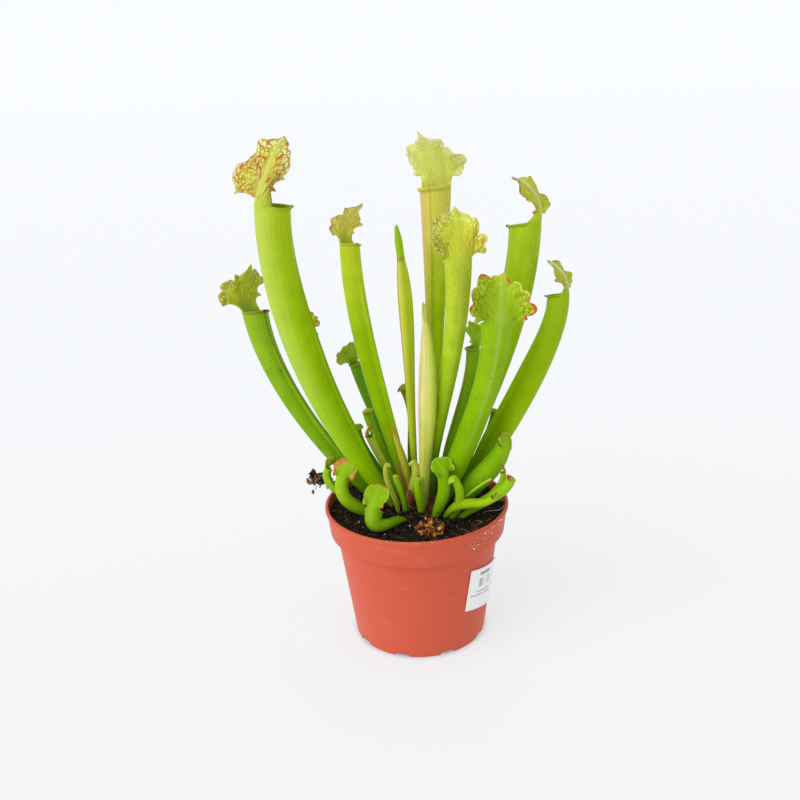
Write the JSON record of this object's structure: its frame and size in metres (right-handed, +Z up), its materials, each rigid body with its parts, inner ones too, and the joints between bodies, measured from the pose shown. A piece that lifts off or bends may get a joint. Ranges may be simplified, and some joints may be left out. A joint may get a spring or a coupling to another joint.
{
  "type": "potted pitcher plant",
  "caption": "Young trumpet pitcher plant with upright hooded green tubes, spears and small pitchers round its crown, in a ribbed-rim plastic nursery pot filled with peat.",
  "frame": {"origin": "middle of the pot's underside, on the surface that it stands on", "axes": "+Z up, +X to the right of the front view, which looks along +Y"},
  "size_m": [0.2057, 0.1149, 0.2994],
  "materials": {
    "terracotta_plastic": "satin",
    "peat": "rough",
    "rhizome": "rough",
    "green_leaf": "satin",
    "pale_leaf": "satin",
    "dark_leaf": "satin",
    "withered_leaf": "rough",
    "crumbs": "rough",
    "dead_leaf": "rough",
    "label": "matte"
  },
  "bodies": {
    "root": {"pot": "terracotta_plastic", "soil": "peat", "crown": "rhizome", "pitcher_left_tallest": "green_leaf", "pitcher_left_low": "dark_leaf", "pitcher_left_hidden": "pale_leaf", "pitcher_centre_left": "green_leaf", "pitcher_back_low": "dark_leaf", "pitcher_back_tallest": "pale_leaf", "pitcher_front_centre": "green_leaf", "pitcher_front_right": "green_leaf", "pitcher_right_tall": "green_leaf", "pitcher_right_far": "green_leaf", "pitcher_back_right": "dark_leaf", "young_front_left": "green_leaf", "young_left_capped": "green_leaf", "young_left_edge": "green_leaf", "young_behind_left": "dark_leaf", "young_middle_left": "green_leaf", "young_inner_left": "pale_leaf", "young_back_stem": "dark_leaf", "young_hooked_left": "pale_leaf", "young_knob": "green_leaf", "young_hook_centre": "green_leaf", "young_hook_right": "green_leaf", "young_flared": "green_leaf", "young_flared_right": "green_leaf", "young_right_open": "green_leaf", "young_right_inner": "dark_leaf", "young_right_behind": "dark_leaf", "young_right_spur": "green_leaf", "young_right_low": "green_leaf", "young_right_lying": "pale_leaf", "spear_green": "pale_leaf", "spear_pale": "pale_leaf", "spear_withered": "withered_leaf", "crumb_lump": "crumbs", "rim_litter": "dead_leaf", "price_label": "label"}
  },
  "joints": []
}
